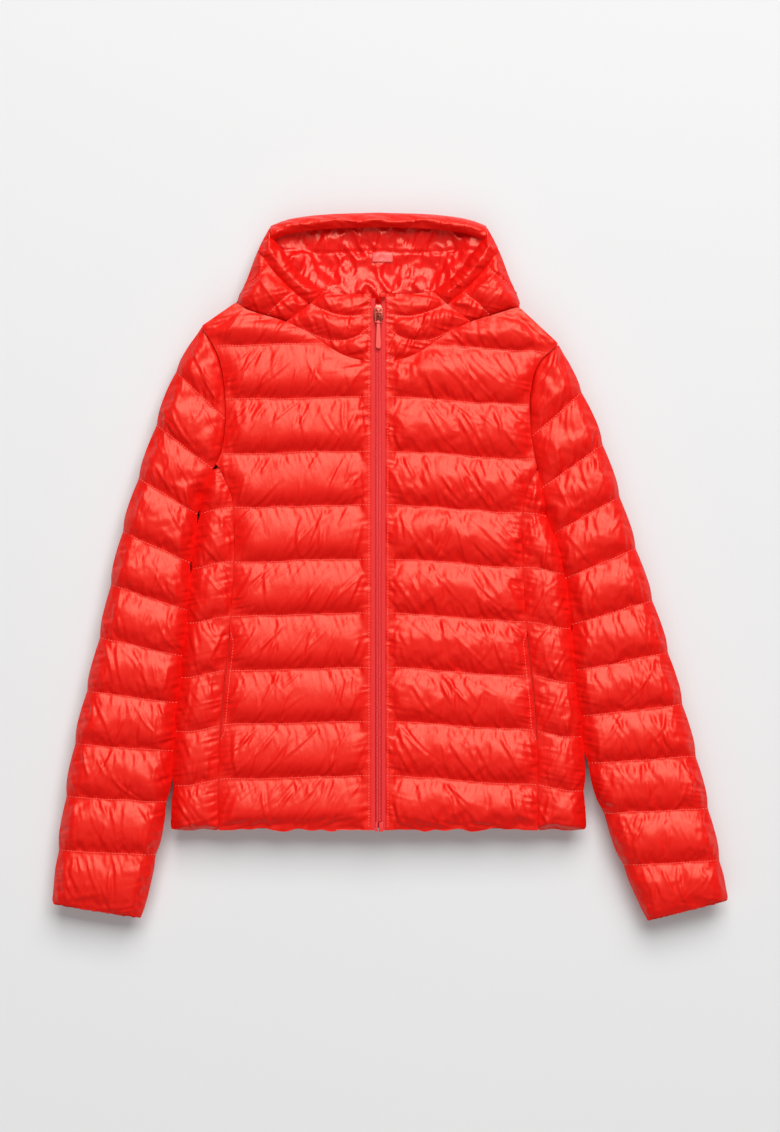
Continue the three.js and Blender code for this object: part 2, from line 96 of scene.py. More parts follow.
RIGHT = Side(
    "right", -1,
    underarm=(197, 80),
    armhole=[(197, 80), (185, 106), (175, 125), (170, 160), (171, 194), (178, 232), (197, 266)],
    tip=(197, 266),
    neck=(158, 293),
    outer=[(197, 266), (227, 216), (248, 159), (285, 43), (312, -80), (340, -201), (358, -319), (364, -378)],
    inner=[(197, 80), (203, 41), (209, 0), (211, -55), (225, -165), (229, -212), (236, -268), (255, -358),
           (265, -394)],
    cuff=[(364, -378), (265, -394)],
    row_start=216,
)
LEFT = Side(
    "left", 1,
    underarm=(187, 58),
    armhole=[(187, 58), (180, 95), (173, 125), (169, 160), (169, 190), (178, 224), (201, 246)],
    tip=(201, 246),
    neck=(157, 287),
    outer=[(201, 246), (228, 193), (251, 136), (288, 20), (324, -96), (355, -212), (381, -326), (390, -374)],
    inner=[(187, 58), (198, 10), (208, -20), (215, -66), (217, -123), (226, -180), (236, -234), (255, -289),
           (276, -344), (300, -397)],
    cuff=[(390, -374), (300, -397)],
    row_start=193,
)
SIDES = (RIGHT, LEFT)

PRINCESS = [(178, HEM_Y), (176, -174), (164, -54), (160, 28), (163, 76), (177, 108)]
NECKLINE = [(8, 226), (32, 231), (52, 241), (75, 257), (103, 271), (123, 277), (148, 285)]
FACE_EDGE = [(8, 302), (41, 302), (60, 306), (72, 314), (88, 326), (104, 348), (116, 363), (120, 375)]
RIM_SEAM = [(76, 291), (88, 299), (104, 314), (120, 331), (134, 352)]
HOOD_EDGE = [(158, 293), (155, 301), (146, 321), (138, 343), (129, 363), (121, 377)]
HOOD_TOP = [(121, 379), (98, 387), (58, 392), (0, 394)]
CROWN_DEPTH = 17  # width of the gathered strip over the top of the hood


def curve(points, step=7.0):
    """Smooth line through a few points, as an array."""
    p = np.array(points, float)
    p = np.vstack([2 * p[0] - p[1], p, 2 * p[-1] - p[-2]])
    out = []
    for a, b, c, d in zip(p[:-3], p[1:-2], p[2:-1], p[3:]):
        n = max(2, int(np.linalg.norm(c - b) / step))
        t = np.linspace(0, 1, n, endpoint=False)[:, None]
        out.append(0.5 * (2 * b + (c - a) * t + (2 * a - 5 * b + 4 * c - d) * t**2
                          + (3 * b - a - 3 * c + d) * t**3))
    out.append(p[-2:-1])
    return np.vstack(out)


def straight(points):
    return np.array(points, float)


def chain_of(*lines):
    """Joins lines end to end into one closed outline, without doubled corners."""
    joined = [lines[0]]
    for line in lines[1:]:
        joined.append(line[1:] if np.linalg.norm(line[0] - joined[-1][-1]) < 2.0 else line)
    outline = np.vstack(joined)
    return outline[:-1] if np.linalg.norm(outline[0] - outline[-1]) < 2.0 else outline


def cut_between(line, low, high):
    """The stretch of a line whose Y lies between two heights."""
    return line[(line[:, 1] >= low) & (line[:, 1] <= high)]


# ---------------------------------------------------------------- small numeric helpers


def soft_step(t):
    t = np.clip(t, 0, 1)
    return t * t * (3 - 2 * t)


def dome(t):
    """Quarter round: 0 at the seam, 1 and level where t reaches 1."""
    t = np.clip(t, 0, 1)
    return np.sqrt(np.maximum(0, 1 - (1 - t) ** 2))


def ease(t):
    """Rises from 0 and comes level at 1, never upright."""
    return 1 - (1 - np.clip(t, 0, 1)) ** 1.8


SAG = 0.33  # share of a row's height at which it stands fullest


def row_profile(t):
    """Section of one row: steeper below its fullest line than above it."""
    return ease(np.where(t < SAG, t / SAG, (1 - t) / (1 - SAG)))


FREE = 24.0  # distance from a piece's rim at which a row stands at its full height
EDGE_SPREAD = 1.35  # how far past its radius the cloth still comes down to an edge


def rumple(x, y, seed):
    """Smooth random relief from -1 to 1 with one swell per unit."""
    lattice = np.random.RandomState(seed).uniform(-1, 1, (128, 128))
    xi, yi = np.floor(x).astype(int), np.floor(y).astype(int)
    fx, fy = soft_step(x - xi), soft_step(y - yi)
    a, b = lattice[xi % 128, yi % 128], lattice[(xi + 1) % 128, yi % 128]
    c, d = lattice[xi % 128, (yi + 1) % 128], lattice[(xi + 1) % 128, (yi + 1) % 128]
    return (a * (1 - fx) + b * fx) * (1 - fy) + (c * (1 - fx) + d * fx) * fy


def nearest(points, line, closed=False):
    """Distance from each point to a line, and the nearest point on it."""
    a = line if closed else line[:-1]
    b = np.roll(line, -1, axis=0) if closed else line[1:]
    best = np.full(len(points), 1e12)
    foot = np.zeros_like(points)
    x, y = points[:, 0], points[:, 1]
    for (px, py), (qx, qy) in zip(a, b):
        dx, dy = qx - px, qy - py
        t = np.clip(((x - px) * dx + (y - py) * dy) / max(dx * dx + dy * dy, 1e-9), 0, 1)
        gap = (x - px - t * dx) ** 2 + (y - py - t * dy) ** 2
        closer = gap < best
        best[closer] = gap[closer]
        foot[closer, 0] = px + t[closer] * dx
        foot[closer, 1] = py + t[closer] * dy
    return np.sqrt(best), foot


def inside(points, outline):
    x, y = points[:, 0], points[:, 1]
    odd = np.zeros(len(points), bool)
    for (x0, y0), (x1, y1) in zip(outline, np.roll(outline, -1, axis=0)):
        crosses = (y0 > y) != (y1 > y)
        odd ^= crosses & (x < (x1 - x0) * (y - y0) / (y1 - y0 + 1e-12) + x0)
    return odd


# ---------------------------------------------------------------- pieces cut from cloth


class Cloth:
    """One piece of the pattern: a fine net trimmed to its outline, with its rows and seams marked.

    edges lists (line, height, radius): the cloth comes down to that height at the line, over that radius.
    bulges lists (line, direction): there each row swells out past the line and is drawn in at its stitching.
    """

    def __init__(self, name, outline, sign=1, cell=2.9, rows=None, seams=(), edges=(), bulges=(), deck=DECK,
                 loft=LOFT, down=False, seed=1, drag=1.0, lean=0.45, fill=0.55):
        self.name = name
        self.sign = sign
        self.outline = outline
        self.rows = rows
        self.seams = seams
        self.edges = edges
        self.bulges = bulges
        self.deck = deck
        self.loft = loft
        self.down = down
        self.seed = seed
        self.drag = drag
        self.lean = lean
        self.fill = fill
        self.net(cell)
        self.shape()

    def net(self, cell):
        low, high = self.outline.min(0) - cell, self.outline.max(0) + cell
        if self.rows:
            step = self.rows["pitch"] / round(self.rows["pitch"] / cell)
            first = math.floor((low[1] - ROW - self.rows["start"]) / step)
            last = math.ceil((high[1] + ROW - self.rows["start"]) / step)
            y0, ny = self.rows["start"] + first * step, last - first
        else:
            step = cell
            y0, ny = low[1], math.ceil((high[1] - low[1]) / cell)
        nx = math.ceil((high[0] - low[0]) / cell)
        net = bmesh.new()
        bmesh.ops.create_grid(net, x_segments=nx, y_segments=ny, size=0.5)
        row = net.verts.layers.float.new("row")
        at = np.array([v.co[:2] for v in net.verts])
        x = low[0] + (at[:, 0] + 0.5) * nx * cell
        r = y0 + (at[:, 1] + 0.5) * ny * step
        y = self.rows["line"](x, r) if self.rows else r
        for v, px, py, pr in zip(net.verts, x, y, r):
            v.co = (px, py, 0)
            v[row] = pr
        centres = np.array([f.calc_center_median()[:2] for f in net.faces])
        keep = inside(centres, self.outline)
        bmesh.ops.delete(net, geom=[f for f, k in zip(net.faces, keep) if not k], context="FACES")
        rim = [v for v in net.verts if v.is_boundary]
        _, foot = nearest(np.array([v.co[:2] for v in rim]), self.outline, closed=True)
        for v, (px, py) in zip(rim, foot):
            v.co = (px, py, 0)
        self.rim = np.array([v.is_boundary for v in net.verts])
        self.at = np.array([v.co[:2] for v in net.verts])
        self.row = np.array([v[row] for v in net.verts])
        self.step = step
        self.bm = net

    def row_phase(self):
        """Place between two stitched rows, from 0 at the lower one to 1 at the upper."""
        n = (self.row - self.rows["start"]) / self.rows["pitch"]
        n = np.clip(n, self.rows.get("from", -99) - SAG, self.rows.get("to", 99) + SAG)
        return n - np.floor(n)

    def row_gap(self, row):
        """Distance to the nearest stitched row, and that row's number."""
        n = (row - self.rows["start"]) / self.rows["pitch"]
        number = np.clip(np.round(n), self.rows.get("from", -99), self.rows.get("to", 99))
        return np.abs(n - number) * self.rows["pitch"], number

    def pucker_hem(self):
        """Draws the hem up in small uneven puckers."""
        x, y = self.at[:, 0], self.at[:, 1]
        self.at[:, 1] = y + hem_pucker(x, np.maximum(y - HEM_Y, 0))
        return self

    def lift_to(self, line, height, reach):
        """Keeps the cloth above a height within reach of a line."""
        gap, _ = nearest(self.at, line)
        self.z = np.where(gap < reach, np.maximum(self.z, height), self.z)
        return self

    def fullness(self):
        """How free the cloth is, from 0 on its stitching to 1 where a row is fullest, below its middle."""
        puff = ease(self.rim_gap / FREE)
        if self.rows:
            puff *= row_profile(self.row_phase())
        for line in self.seams:
            gap, _ = nearest(self.at, line)
            puff *= dome(gap / 14)
        return puff

    def shape(self):
        x, y = self.at[:, 0], self.at[:, 1]
        base = np.full(len(x), float(self.deck))
        for line, height, radius in self.edges:
            pick = np.maximum if height > self.deck else np.minimum
            gap, _ = nearest(self.at, line)
            base = pick(base, height + (self.deck - height) * ease(gap / radius / EDGE_SPREAD))
        self.pinned = self.rim.copy()
        if self.rows:
            gap, _ = self.row_gap(self.row)
            self.pinned |= gap < self.step * 0.3
        for line in self.seams:
            gap, _ = nearest(self.at, line)
            self.pinned |= gap < self.step * 0.55
        self.rim_gap, _ = nearest(self.at, self.outline, closed=True)
        puff = self.puff = self.fullness()
        swell = rumple(x / 15 + y / 30, y / 34 - x / 60, self.seed + 1) * 0.5
        swell += rumple(x / 40 - y / 45, y / 25, self.seed + 2) * 0.7
        lift = puff * self.loft + swell * np.sqrt(puff) * self.loft / LOFT
        self.z = np.maximum(base - lift, 0.3) if self.down else base + lift
        self.bulge()

    def bulge(self):
        """Scallops the outer edges: rows swell out between their stitching."""
        for line, direction in self.bulges:
            gap, _ = nearest(self.at, line)
            swell = (row_profile(self.row_phase()) - 0.55) * SCALLOP * np.exp(-gap / 9)
            self.at = self.at + swell[:, None] * np.array(direction)

    def build(self, material):
        full, rim = (self.bm.verts.layers.float.new(name) for name in ("full", "rim"))
        for v, (x, y), z, puff, gap in zip(self.bm.verts, self.at, self.z, self.puff, self.rim_gap):
            v.co = (x * self.sign * MM, y * MM, z * MM)
            v[full], v[rim] = puff, gap
        if (self.sign < 0) != self.down:
            bmesh.ops.reverse_faces(self.bm, faces=self.bm.faces)
        mesh = bpy.data.meshes.new(self.name)
        self.bm.to_mesh(mesh)
        self.bm.free()
        mesh.polygons.foreach_set("use_smooth", [True] * len(mesh.polygons))
        mesh.materials.append(material)
        self.obj = bpy.data.objects.new(self.name, mesh)
        bpy.context.scene.collection.objects.link(self.obj)
        return self

    def sew(self):
        """Holds the stitching and lets the cloth between it billow."""
        self.build(SHELL)
        group = self.obj.vertex_groups.new(name="stitching")
        group.add([int(i) for i in np.flatnonzero(self.pinned)], 1.0, "REPLACE")
        cloth = self.obj.modifiers.new("billow", "CLOTH")
        s = cloth.settings
        s.quality = 4
        s.mass = 0.12
        s.tension_stiffness = s.compression_stiffness = 12
        s.shear_stiffness = 4
        s.bending_stiffness = 0.05
        s.vertex_group_mass = "stitching"
        s.use_pressure = True
        s.uniform_pressure_force = BILLOW_PRESSURE
        s.shrink_min = s.shrink_max = -BILLOW_SLACK
        s.effector_weights.gravity = 0
        cloth.point_cache.frame_end = BILLOW_FRAMES
        cloth.collision_settings.use_collision = False
        SEWN.append(self)
        return self

    def settle(self, graph):
        """Takes the billowed cloth, within a cap, and drops the simulation."""
        mesh = self.obj.data
        start = np.array([v.co for v in mesh.vertices])
        moved = np.array([v.co for v in self.obj.evaluated_get(graph).data.vertices])
        shift = moved - start
        length = np.linalg.norm(shift, axis=1, keepdims=True)
        at = start + shift * np.minimum(1, BILLOW_CAP * MM / np.maximum(length, 1e-9))
        at[:, 2] = np.maximum(at[:, 2], 0.3 * MM)
        mesh.vertices.foreach_set("co", at.ravel())
        self.obj.modifiers.clear()
        self.obj.vertex_groups.clear()
        mesh.update()

    def refine(self):
        """Halves the cells, so that the creases can be sharp."""
        self.obj.modifiers.new("halve", "SUBSURF").levels = 1
        self.obj.modifiers["halve"].render_levels = 1
        graph = bpy.context.evaluated_depsgraph_get()
        fine = bpy.data.meshes.new_from_object(self.obj.evaluated_get(graph), depsgraph=graph)
        self.obj.modifiers.clear()
        self.obj.data = fine
        fine.name = self.name

    def crease(self):
        """Adds the puckers along the stitching and the long drag creases between the rows."""
        mesh = self.obj.data
        n = len(mesh.vertices)
        co = np.empty(n * 3)
        mesh.vertices.foreach_get("co", co)
        row, puff, rim = (kept(mesh, name) for name in ("row", "full", "rim"))
        co = co.reshape(-1, 3)
        normal = np.array([v.vector for v in mesh.vertex_normals])
        at = co[:, :2] / MM * np.array([self.sign, 1])
        x, y = at[:, 0], at[:, 1]
        lift = 1.3 * ridges(y / 5.2 + x / 24, x / 40, self.seed + 5) * np.exp(-rim / 9)
        if self.rows:
            gap, number = self.row_gap(row)
            comb = ridges(x / 6.5 + gap * self.lean / 9, number * 3.7, self.seed + 3)
            comb += 0.5 * ridges(x / 3.1 + gap / 16, number * 5.1, self.seed + 4)
            lift += 0.85 * comb * np.exp(-gap / 8.5)
        lift += self.drag_creases(at)
        lift *= np.minimum(1, puff * 3.0)
        fade = UNDER_LOFT / LOFT if self.down else 1.0
        co += normal * (lift * fade * MM)[:, None]
        co[:, 2] = np.maximum(co[:, 2], 0.3 * MM)
        mesh.vertices.foreach_set("co", co.ravel())
        mesh.update()

    def drag_creases(self, at):
        """Long folds where the cloth is pulled on the slant, each a sharp ridge beside a narrow furrow."""
        lift = np.zeros(len(at))
        draw = np.random.RandomState(self.seed)
        low, high = self.outline.min(0), self.outline.max(0)
        area = (high - low).prod()
        for _ in range(int(area / 480 * self.drag)):
            start = draw.uniform(low, high)
            slant = self.lean + draw.normal(0, 0.22)
            length = draw.uniform(18, 62)
            bend = draw.normal(0, 0.006)
            depth = draw.uniform(0.25, 0.95)
            side = draw.choice([-1, 1])
            along = start[1] - at[:, 1]
            close = (along > 0) & (along < length) & (np.abs(at[:, 0] - start[0]) < 60)
            t = along[close]
            across = (at[close, 0] - start[0] - slant * t - bend * t * t) * side / math.hypot(1, slant)
            taper = np.sin(np.pi * t / length) ** 0.6
            lift[close] += depth * taper * (
                np.exp(-(across / 1.9) ** 2) - 0.7 * np.exp(-((across - 3.6) / 2.4) ** 2)
                - 0.25 * np.exp(-((across + 6.0) / 5.0) ** 2))
        return lift

    def stitch(self, extra=()):
        """Sews a running stitch along every row and every extra line."""
        lines = list(extra)
        if self.rows:
            low, high = self.outline.min(0), self.outline.max(0)
            x = np.arange(low[0], high[0], 1.0)
            first = self.rows.get("from", math.ceil((low[1] - self.rows["start"]) / self.rows["pitch"]))
            last = self.rows.get("to", math.floor((high[1] + ROW - self.rows["start"]) / self.rows["pitch"]))
            for n in range(int(first), int(last) + 1):
                r = np.full(len(x), self.rows["start"] + n * self.rows["pitch"])
                points = np.column_stack([x, self.rows["line"](x, r)])
                lines.append(points[inside(points, self.outline)])
        mesh = self.obj.data
        tree = kdtree.KDTree(len(mesh.vertices))
        for i, v in enumerate(mesh.vertices):
            tree.insert((v.co.x, v.co.y, 0), i)
        tree.balance()
        thread = bmesh.new()
        thread.from_mesh(mesh)
        known = len(thread.faces)
        places = []
        for line in lines:
            for a, b in stitches(line):
                middle = (a + b) / 2 * np.array([self.sign, 1]) * MM
                _, i, away = tree.find((middle[0], middle[1], 0))
                if away > 4 * MM:
                    continue
                run = (b - a) * np.array([self.sign, 1])
                place = Matrix.Translation((middle[0], middle[1], mesh.vertices[i].co.z))
                turn = Matrix.Rotation(math.atan2(run[1], run[0]), 4, "Z")
                size = Matrix.Diagonal((np.linalg.norm(run) * MM, THREAD * MM, THREAD * MM, 1))
                places.append(place @ turn @ size)
        add_beads(thread, places)
        thread.faces.ensure_lookup_table()
        for f in thread.faces[known:]:
            f.material_index = 1
            f.smooth = True
        thread.to_mesh(mesh)
        thread.free()
        mesh.materials.append(THREAD_NYLON)
        return self


def add_beads(target, places, fineness=1, batch=24):
    """Adds one small bead at each place, in batches, because a small mesh is quicker to add to."""
    for first in range(0, len(places), batch):
        few = bmesh.new()
        for place in places[first:first + batch]:
            bmesh.ops.create_icosphere(few, subdivisions=fineness, radius=0.5, matrix=place)
        mesh = bpy.data.meshes.new("beads")
        few.to_mesh(mesh)
        few.free()
        target.from_mesh(mesh)
        bpy.data.meshes.remove(mesh)


SCALLOP = 2.6  # how far a row swells out past a side seam
SEWN = []  # pieces that still have to billow
BILLOW_FRAMES = 16
BILLOW_CAP = 6.0  # furthest that the billowing may move the cloth
BILLOW_PRESSURE = 4.0
BILLOW_SLACK = 0.015  # share by which the cloth is longer than its stitching
STITCH = 2.3
STITCH_PITCH = 3.3
THREAD = 0.9  # thickness of the thread, drawn coarse enough to show


def kept(mesh, name):
    """A number stored at each point of a mesh."""
    values = np.empty(len(mesh.vertices))
    mesh.attributes[name].data.foreach_get("value", values)
    return values


def ridges(x, y, seed):
    """Random relief with sharp crests, from about -0.5 to 1."""
    return 1 - 3 * np.abs(rumple(x, y, seed))


def stitches(line):
    """End points of the running stitches along a line."""
    if len(line) < 2:
        return []
    run = np.concatenate([[0], np.cumsum(np.linalg.norm(np.diff(line, axis=0), axis=1))])
    starts = np.arange(1, run[-1] - STITCH, STITCH_PITCH)

    def point(s):
        return np.array([np.interp(s, run, line[:, 0]), np.interp(s, run, line[:, 1])])
    return [(point(s), point(s + STITCH)) for s in starts]


def billow_all():
    """Runs the cloth of every sewn piece at once, then finishes each surface."""
    scene = bpy.context.scene
    for f in range(1, BILLOW_FRAMES + 1):
        scene.frame_set(f)
    graph = bpy.context.evaluated_depsgraph_get()
    for piece in SEWN:
        piece.settle(graph)
    scene.frame_set(1)
    for piece in SEWN:
        piece.refine()
        piece.crease()


# ---------------------------------------------------------------- materials


def tint(code):
    """sRGB hex to linear colour."""
    parts = [int(code[i:i + 2], 16) / 255 for i in (1, 3, 5)]
    return tuple(c / 12.92 if c <= 0.04045 else ((c + 0.055) / 1.055) ** 2.4 for c in parts) + (1,)


def node(tree, kind, inputs=(), links=(), **settings):
    """Adds a node, sets its properties and inputs, and links its inputs."""
    made = tree.nodes.new(kind)
    for key, value in settings.items():
        setattr(made, key, value)
    for socket, value in dict(inputs).items():
        made.inputs[socket].default_value = value
    for socket, source in dict(links).items():
        tree.links.new(source, made.inputs[socket])
    return made


def surface(name, sockets):
    """A material whose shader has these settings."""
    material = bpy.data.materials.new(name)
    material.use_nodes = True
    shader = material.node_tree.nodes["Principled BSDF"]
    for key, value in sockets.items():
        shader.inputs[key].default_value = value
    return material, material.node_tree, shader


def two_tone(tree, shader, at, first, second, scale, detail=3.0):
    """Uneven colour: two shades of one dye, mixed by a cloud of the given scale."""
    cloud = node(tree, "ShaderNodeTexNoise", {"Scale": scale, "Detail": detail}, {"Vector": at})
    dye = node(tree, "ShaderNodeMixRGB", {"Color1": tint(first), "Color2": tint(second)},
               {"Fac": cloud.outputs["Fac"]})
    tree.links.new(dye.outputs["Color"], shader.inputs["Base Color"])


def object_place(tree):
    return node(tree, "ShaderNodeTexCoord").outputs["Object"]


def fine_creases(tree, at, turn, stretch, detail, distortion):
    """Noise drawn out along one direction, as thin cloth creases."""
    slanted = node(tree, "ShaderNodeMapping", {"Rotation": (0, 0, turn), "Scale": stretch}, {"Vector": at})
    return node(tree, "ShaderNodeTexNoise", {"Scale": 1.0, "Detail": detail, "Distortion": distortion},
                {"Vector": slanted.outputs["Vector"]}).outputs["Fac"]


def downproof_nylon():
    """Calendered downproof nylon: pressed to satin, so puffs catch a broad soft light and furrows go deep."""
    material, tree, shader = surface("calendered_nylon_shell", {
        "Roughness": 0.38, "IOR": 1.45, "Specular Tint": tint("#fff9d4")})
    at = object_place(tree)
    two_tone(tree, shader, at, "#de0c08", "#e4100b", 14.0)
    slant = fine_creases(tree, at, 0.4, (190, 55, 120), 4.0, 0.5)
    cross = fine_creases(tree, at, -0.7, (260, 110, 200), 3.0, 0.3)
    both = node(tree, "ShaderNodeMath", {}, {0: slant, 1: cross}, operation="ADD")
    bump = node(tree, "ShaderNodeBump", {"Strength": 0.26, "Distance": 1.1 * MM},
                {"Height": both.outputs["Value"]})
    tree.links.new(bump.outputs["Normal"], shader.inputs["Normal"])
    return material


def lining_taffeta():
    """Thin nylon taffeta: glossier and deeper red than the shell, with small sharp creases."""
    material, tree, shader = surface("glossy_taffeta_lining", {
        "Roughness": 0.28, "IOR": 1.5, "Specular Tint": tint("#ffe6c8")})
    at = object_place(tree)
    two_tone(tree, shader, at, "#dc0b0a", "#e6100f", 20.0)
    slant = fine_creases(tree, at, 0.9, (150, 70, 100), 5.0, 0.8)
    bump = node(tree, "ShaderNodeBump", {"Strength": 0.6, "Distance": 1.2 * MM}, {"Height": slant})
    tree.links.new(bump.outputs["Normal"], shader.inputs["Normal"])
    return material


def thread_nylon():
    """Spun polyester sewing thread: matt, a shade paler than the cloth it sinks into."""
    material, tree, shader = surface("spun_polyester_thread", {"Roughness": 0.7, "IOR": 1.5})
    two_tone(tree, shader, object_place(tree), "#ff6456", "#ff7c6e", 900.0)
    return material


def zip_tape_twill():
    """Woven polyester zip tape: a dull pinker red, with the twill drawn coarse enough to show."""
    material, tree, shader = surface("woven_zip_tape", {
        "Roughness": 0.7, "Sheen Weight": 0.06, "Sheen Roughness": 0.5, "Sheen Tint": tint("#ff9c98")})
    at = object_place(tree)
    two_tone(tree, shader, at, "#d6181b", "#de2426", 300.0)
    weave = node(tree, "ShaderNodeTexWave", {"Scale": WEAVE_WAVES / (0.9 * MM), "Distortion": 0.4},
                 {"Vector": at}, wave_type="BANDS", bands_direction="DIAGONAL")
    bump = node(tree, "ShaderNodeBump", {"Strength": 0.7, "Distance": 0.15 * MM},
                {"Height": weave.outputs["Fac"]})
    tree.links.new(bump.outputs["Normal"], shader.inputs["Normal"])
    return material


WEAVE_WAVES = 0.32  # a wave texture of scale 1 repeats about every 0.32 units


def zip_polyamide():
    """Drawn polyamide monofilament and moulded ends: smooth, slightly waxy plastic."""
    material, tree, shader = surface("moulded_polyamide", {"Roughness": 0.38, "IOR": 1.53})
    at = object_place(tree)
    two_tone(tree, shader, at, "#dc2a2c", "#e63638", 400.0)
    grain = node(tree, "ShaderNodeTexNoise", {"Scale": 1600.0, "Detail": 2.0}, {"Vector": at})
    bump = node(tree, "ShaderNodeBump", {"Strength": 0.25, "Distance": 0.05 * MM},
                {"Height": grain.outputs["Fac"]})
    tree.links.new(bump.outputs["Normal"], shader.inputs["Normal"])
    return material


def lacquered_zinc():
    """Die-cast zinc under tinted lacquer: copper red with pinkish highlights, in two shades mixed at random.
    """
    material, tree, shader = surface("lacquered_die_cast_zinc", {
        "Roughness": 0.3, "Metallic": 0.85, "Coat Weight": 0.5, "Coat Roughness": 0.15})
    at = object_place(tree)
    two_tone(tree, shader, at, "#c9483a", "#dc6a58", 260.0, 4.0)
    grain = node(tree, "ShaderNodeTexNoise", {"Scale": 2200.0, "Detail": 2.0}, {"Vector": at})
    bump = node(tree, "ShaderNodeBump", {"Strength": 0.1, "Distance": 0.02 * MM},
                {"Height": grain.outputs["Fac"]})
    tree.links.new(bump.outputs["Normal"], shader.inputs["Normal"])
    return material


def moulded_rubber():
    """Soft moulded rubber: matt coral with the fine spark texture of its mould."""
    material, tree, shader = surface("moulded_soft_rubber", {"Roughness": 0.55, "IOR": 1.5})
    at = object_place(tree)
    two_tone(tree, shader, at, "#e84a40", "#f05a4c", 200.0)
    grain = node(tree, "ShaderNodeTexNoise", {"Scale": 1400.0, "Detail": 3.0}, {"Vector": at})
    bump = node(tree, "ShaderNodeBump", {"Strength": 0.35, "Distance": 0.08 * MM},
                {"Height": grain.outputs["Fac"]})
    tree.links.new(bump.outputs["Normal"], shader.inputs["Normal"])
    return material


def label_satin():
    """Woven satin ribbon: pale, with a soft lengthways shine."""
    material, tree, shader = surface("woven_satin_ribbon", {"Roughness": 0.35, "Anisotropic": 0.4})
    at = object_place(tree)
    two_tone(tree, shader, at, "#e8504a", "#ee665e", 500.0)
    weave = node(tree, "ShaderNodeTexWave", {"Scale": WEAVE_WAVES / (0.7 * MM)}, {"Vector": at},
                 wave_type="BANDS", bands_direction="Y")
    bump = node(tree, "ShaderNodeBump", {"Strength": 0.4, "Distance": 0.1 * MM},
                {"Height": weave.outputs["Fac"]})
    tree.links.new(bump.outputs["Normal"], shader.inputs["Normal"])
    return material


SHELL = downproof_nylon()
LINING = lining_taffeta()
THREAD_NYLON = thread_nylon()
TAPE = zip_tape_twill()
POLYAMIDE = zip_polyamide()
ZINC = lacquered_zinc()
RUBBER = moulded_rubber()
SATIN = label_satin()

# ---------------------------------------------------------------- camera, light and floor


WORLD = 0.12  # strength of the even light from all round
KEY = 475  # watts of the softbox beyond the hood
FILL = 118  # watts of the softbox beyond the hem


def make_camera():
    camera = bpy.data.objects.new("camera", bpy.data.cameras.new("camera"))
    camera.data.lens = 85
    camera.data.sensor_width = 36
    camera.location = (0.0129, -0.0011, 3.012)
    bpy.context.scene.collection.objects.link(camera)
    bpy.context.scene.camera = camera


def softbox(name, place, width, height, energy):
    lamp = bpy.data.lights.new(name, "AREA")
    lamp.shape = "RECTANGLE"
    lamp.size, lamp.size_y = width, height
    lamp.energy = energy
    box = bpy.data.objects.new(name, lamp)
    box.location = place
    box.rotation_euler = (-Vector(place)).to_track_quat("-Z", "Y").to_euler()
    bpy.context.scene.collection.objects.link(box)
    return box


def make_studio():
    scene = bpy.context.scene
    scene.view_settings.view_transform = "Standard"
    world = bpy.data.worlds.new("studio")
    world.use_nodes = True
    world.node_tree.nodes["Background"].inputs["Color"].default_value = (1, 1, 1, 1)
    world.node_tree.nodes["Background"].inputs["Strength"].default_value = WORLD
    scene.world = world
    softbox("key_softbox", (0.9, 3.9, 4.7), 4.8, 4.6, KEY)
    fill = softbox("fill_softbox", (-0.5, -2.3, 5.0), 6.0, 6.0, FILL)
    fill.visible_glossy = False
    floor_mesh = bpy.data.meshes.new("floor")
    sheet = bmesh.new()
    bmesh.ops.create_grid(sheet, x_segments=1, y_segments=1, size=6)
    sheet.to_mesh(floor_mesh)
    sheet.free()
    floor = bpy.data.objects.new("floor", floor_mesh)
    scene.collection.objects.link(floor)
    paper, tree, shader = surface("paper_sweep", {"Roughness": 0.95, "Specular IOR Level": 0.1})
    two_tone(tree, shader, object_place(tree), "#dbdbdb", "#dcdcdc", 3.0)
    floor_mesh.materials.append(paper)


# ---------------------------------------------------------------- placing the pieces


def fold_blend(obj):
    """Bakes the piece's placement into its mesh."""
    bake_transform(obj)


def sleeve_blend(obj):
    """Bakes the piece's placement into its mesh."""
    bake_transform(obj)


def hood_blend(obj):
    """Bakes the piece's placement into its mesh."""
    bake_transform(obj)


def shell(piece, *nodes):
    """Hides these nodes, which a padded piece stands for."""
    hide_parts(*nodes)


# ---------------------------------------------------------------- body panels


def droop(x):
    """How far the stitched rows sag toward the side seams: more on the wearer's left."""
    reach = np.abs(x)
    near = np.where(x > 0, -9.0, -3.0) * soft_step(reach / 170)
    return near - 8 * soft_step((reach - 165) / 50)


def body_rows(sign=1):
    def line(x, r):
        return r + droop(x * sign) + 0.8 * rumple(x / 22, r / ROW, 5)
    return {"start": HEM_Y, "pitch": ROW, "line": line}


def body_edge(side):
    """Side seam, hem to underarm."""
    return curve([(231, HEM_Y), (229, -200), (224, -140), (214.5, -50), (208, 10), side.underarm])


def front_neckline(side):
    return curve(NECKLINE + [side.neck])


def hem_line():
    """The hem, carried on past both side seams."""
    return straight([(-250, HEM_Y), (250, HEM_Y)])


def hem_pucker(x, reach):
    """Small uneven rise of the hem, drawn up by its elastic, fading upward over a reach."""
    return 1.6 * (rumple(x / 13, x * 0, 9) - 0.4 * ridges(x / 21, x * 0, 10)) * np.exp(-reach / 8)


MOUTH_LOW, MOUTH_HIGH = -200, -70  # pocket mouth in the princess seam
MOUTH_GAPE = 2.2  # how far the mouth stands open


def princess(gape):
    """The princess seam. Along the pocket mouth its two edges part by the gape."""
    line = curve(PRINCESS)
    mouth = soft_step((line[:, 1] - MOUTH_LOW) / 18) * soft_step((MOUTH_HIGH - line[:, 1]) / 18)
    return line - np.column_stack([gape * mouth, np.zeros(len(line))])


